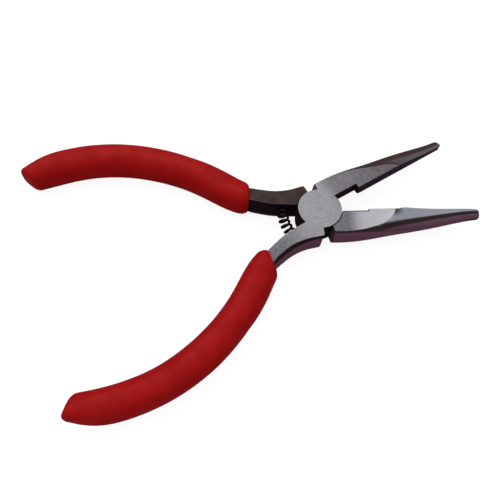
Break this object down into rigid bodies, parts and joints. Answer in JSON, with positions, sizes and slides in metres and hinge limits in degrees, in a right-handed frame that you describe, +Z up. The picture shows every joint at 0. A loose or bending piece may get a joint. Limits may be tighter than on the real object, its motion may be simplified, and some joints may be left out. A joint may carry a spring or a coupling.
{
  "type": "mini long nose pliers",
  "caption": "Small spring-return pliers with a lap joint, long half-round jaws with flat gripping faces, bowed handles and dipped vinyl grips.",
  "frame": {"origin": "on the pivot axis, in the ground underside face of the joint", "axes": "+Z up along the pivot axis, +X along the bisector of the open jaws towards the nose tips, +Y towards the jaw of the top half lever"},
  "size_m": [0.1197, 0.0764, 0.0098],
  "materials": {
    "forged_steel": "faces ground to a fine matt grain, sides left dark from forging",
    "rivet_steel": "ground flush",
    "spring_steel": "dark drawn wire",
    "red_vinyl": "satin dipped vinyl"
  },
  "bodies": {
    "bottom_lever": {"lever_bottom_half": "forged_steel", "pivot_rivet": "rivet_steel", "return_spring": "spring_steel", "grip_bottom_half": "red_vinyl"},
    "top_lever": {"lever_top_half": "forged_steel", "grip_top_half": "red_vinyl"}
  },
  "joints": [
    {"name": "pivot", "type": "hinge", "parent": "bottom_lever", "child": "top_lever", "pos_m": [0, 0, 0.0035], "axis": [0, 0, 1], "range_deg": [-29.4, 21], "stiffness_Nm_per_rad": 0.12, "deforming": ["return_spring"]}
  ]
}
